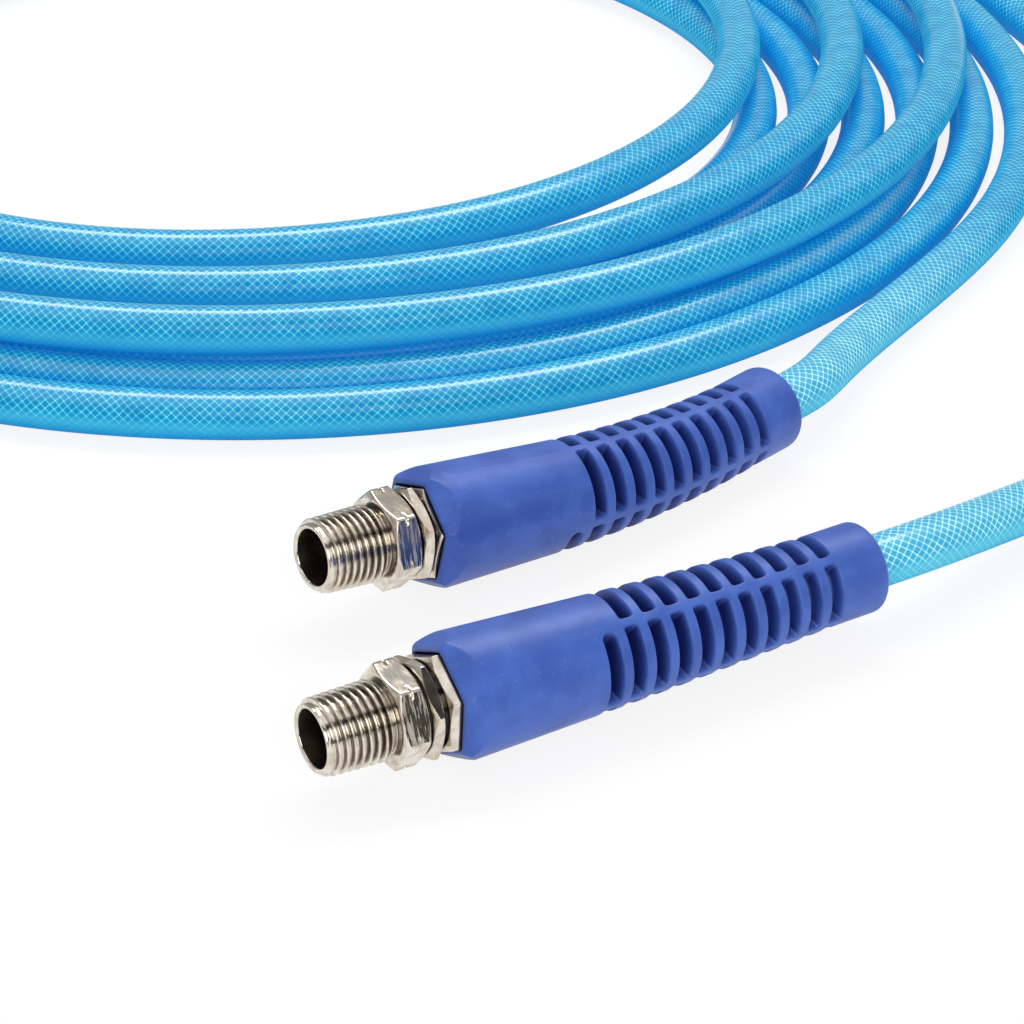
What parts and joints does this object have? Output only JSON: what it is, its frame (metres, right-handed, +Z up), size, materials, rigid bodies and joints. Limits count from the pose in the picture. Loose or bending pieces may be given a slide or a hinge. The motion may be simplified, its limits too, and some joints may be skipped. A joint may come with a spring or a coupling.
{
  "type": "coiled air hose",
  "caption": "Clear braided polyurethane air hose wound in flat loops, with a slotted bend-restrictor boot and a turning male pipe-thread fitting on both ends",
  "frame": {"origin": "middle of the mouth of fitting A, the one in front", "axes": "+X along fitting A from its mouth to its hose, +Y across the floor towards the coil, +Z up; the floor is 11.1 mm below the origin"},
  "size_m": [0.3431, 0.4597, 0.023],
  "materials": {
    "braided_hose": "clear glossy polyurethane over a light blue yarn braid",
    "blue_boot": "moulded royal blue, satin",
    "nickel_plated_brass": "nickel plated, milled flats, turned threads",
    "acetal": "natural acetal",
    "nitrile_seal": "black nitrile",
    "spring_steel": "bright wire",
    "washer_nylon": "natural nylon"
  },
  "bodies": {
    "root": {"hose_coil": "braided_hose", "hose_tail_a": "braided_hose", "hose_tail_b": "braided_hose", "hose_end_a": "braided_hose", "bend_restrictor_a": "blue_boot", "compression_nut_a": "nickel_plated_brass", "clamp_sleeve_a": "acetal", "barb_stem_a": "nickel_plated_brass", "swivel_oring_a": "nitrile_seal", "retaining_ring_a": "spring_steel", "thrust_washer_a": "washer_nylon", "hose_end_b": "braided_hose", "bend_restrictor_b": "blue_boot", "compression_nut_b": "nickel_plated_brass", "clamp_sleeve_b": "acetal", "barb_stem_b": "nickel_plated_brass", "swivel_oring_b": "nitrile_seal", "retaining_ring_b": "spring_steel", "thrust_washer_b": "washer_nylon"},
    "swivel_a": {"swivel_body_a": "nickel_plated_brass"},
    "swivel_b": {"swivel_body_b": "nickel_plated_brass"}
  },
  "joints": [
    {"name": "swivel_a_turn", "type": "hinge", "parent": "root", "child": "swivel_a", "pos_m": [0.0136, 0, 0], "axis": [1, 0, 0], "continuous": true},
    {"name": "swivel_b_turn", "type": "hinge", "parent": "root", "child": "swivel_b", "pos_m": [0.03958, 0.04956, 0.00163], "axis": [0.9949, 0.0725, -0.0698], "continuous": true}
  ]
}
